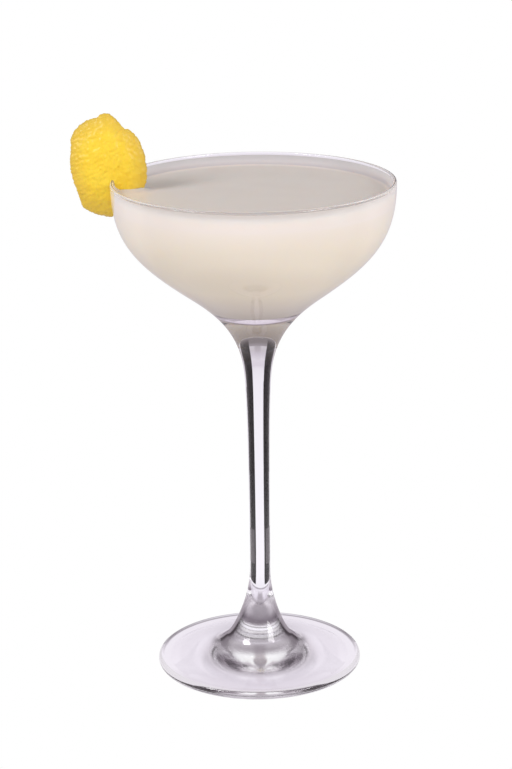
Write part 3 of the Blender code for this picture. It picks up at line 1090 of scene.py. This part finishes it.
# %% Colours of the studio
FRONT_FILL, BACK_FILL = 1.25, 0.80
FILL = (
    (-1, "#A09D9A"), (-0.8, "#BDBAB7"), (-0.5, "#E4E1DE"), (-0.2, "#F0EDEA"), (0.2, "#E0DEDC"),
    (0.5, "#9A9896"), (1, "#7C7B7A"),
)
AHEAD = (
    (-1, "#F2ECF4"), (-0.14, "#EFE9F1"), (0.0, "#DED8E0"), (0.09, "#CCC4CE"), (0.17, "#BAB2B9"),
    (0.31, "#AAA2A8"), (0.45, "#B2AAAF"), (0.54, "#C3BBC0"), (0.7, "#B4ACB0"), (0.85, "#9A9298"),
    (1, "#B0A8B0"),
)
BESIDE = (
    (-1, "#F2ECF4"), (0.0, "#E4DEE6"), (0.09, "#D0C8D2"), (0.17, "#CAC3C9"), (0.31, "#D0CAD0"),
    (0.40, "#E6E0E4"), (0.46, "#FAF8FA"), (0.6, "#FFFFFF"), (1, "#FFFFFF"),
)
CAMERA_SIDE = ((-1, "#F2ECF4"), (0.05, "#D8D2D8"), (0.2, "#FCFAFC"), (1, "#FFFFFF"))
ROOM = (
    (-1, "#D8D2D8"), (-0.1, "#6A6468"), (0.1, "#6A6468"), (0.25, "#B8B2B8"), (0.6, "#D0CCD0"),
    (1, "#E0DCE0"),
)


def elevation_ramp(tree, rise, stops):
    """A colour for each height of a direction, from -1 straight down to 1 straight up."""
    share = add(tree, "ShaderNodeMapRange", {"Value": rise, "From Min": -1.0})
    ramp = add(tree, "ShaderNodeValToRGB", {"Fac": share})
    set_stops(ramp, [((rise_at + 1) / 2, colour) for rise_at, colour in stops])
    return ramp


# %% [markdown]
# The cosine of four times the azimuth is 1 straight ahead, behind and to both sides, and AHEAD
# is used around those four ways, with BESIDE between them. Overhead the four ways grow wider.
# CAMERA_SIDE takes over for directions that come from the camera's side.

# %% Directions of the world
world = bpy.data.worlds.new("studio")
bpy.context.scene.world = world
world.use_nodes = True
tree = world.node_tree
tree.nodes.clear()
path = add(tree, "ShaderNodeLightPath").outputs
direction = add(tree, "ShaderNodeTexCoord").outputs["Generated"]
toward = add(tree, "ShaderNodeSeparateXYZ", {0: direction}).outputs
azimuth = add(tree, "ShaderNodeMath", {0: toward["X"], 1: toward["Y"]}, operation="ARCTAN2")
quarters = add(tree, "ShaderNodeMath", {0: azimuth, 1: 4.0}, operation="MULTIPLY")
wave = add(tree, "ShaderNodeMath", {0: quarters}, operation="COSINE")
wider = add(
    tree,
    "ShaderNodeMapRange",
    {"Value": toward["Z"], "From Min": 0.62, "From Max": 0.85, "To Max": 0.5},
)
widened = add(tree, "ShaderNodeMath", {0: wave, 1: wider}, operation="ADD")
ahead_share, camera_share = [
    add(tree, "ShaderNodeMapRange", {"Value": value, "From Min": low, "From Max": high})
    for value, low, high in ((widened, 0.86, 0.97), (toward["Y"], -0.55, -0.72))
]
backdrop = elevation_ramp(tree, toward["Z"], BESIDE)
for share, stops in ((ahead_share, AHEAD), (camera_share, CAMERA_SIDE)):
    layers = {0: share, 6: backdrop, 7: elevation_ramp(tree, toward["Z"], stops)}
    backdrop = add(tree, "ShaderNodeMix", layers, data_type="RGBA").outputs[2]

# %% [markdown]
# The kind of ray picks its world: one from matt surfaces gets the even light, one that glass
# mirrored or bent gets its own, and one from the camera gets plain white. Light that is bent
# after a mirror counts as bent, so that kind comes later in the list.

# %% What each kind of ray meets
front = add(
    tree,
    "ShaderNodeMapRange",
    {"Value": toward["Y"], "From Min": -1.0, "To Min": FRONT_FILL, "To Max": BACK_FILL},
)
fill = {"Color": elevation_ramp(tree, toward["Z"], FILL), "Strength": front}
sky = add(tree, "ShaderNodeBackground", fill)
for kind, colour in (
    ("Is Glossy Ray", elevation_ramp(tree, toward["Z"], ROOM)),
    ("Is Transmission Ray", backdrop),
    ("Is Camera Ray", linear("#FFFFFF")),
):
    shade = add(tree, "ShaderNodeBackground", {"Color": colour})
    sky = add(tree, "ShaderNodeMixShader", {0: path[kind], 1: sky, 2: shade})
add(tree, "ShaderNodeOutputWorld", {"Surface": sky})
bpy.context.scene.view_settings.view_transform = "Standard"
bpy.context.scene.view_settings.look = "None"
print(f"world: {len(tree.nodes)} nodes")

# %% [markdown]
# Each finished piece is tied to the model: it rides on the one body, and the solid of the
# model that it stands for is hidden.

# %% Tie the pieces to the frame
for piece, node, slot in (
    (coupe_glass, "coupe_glass", "clear_glass"),
    (sour, "sour_drink", "milky_sour"),
    (foam, "foam_head", "white_foam"),
    (peel, "lemon_peel", "lemon_skin"),
):
    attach(piece, "root")
    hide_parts(node)
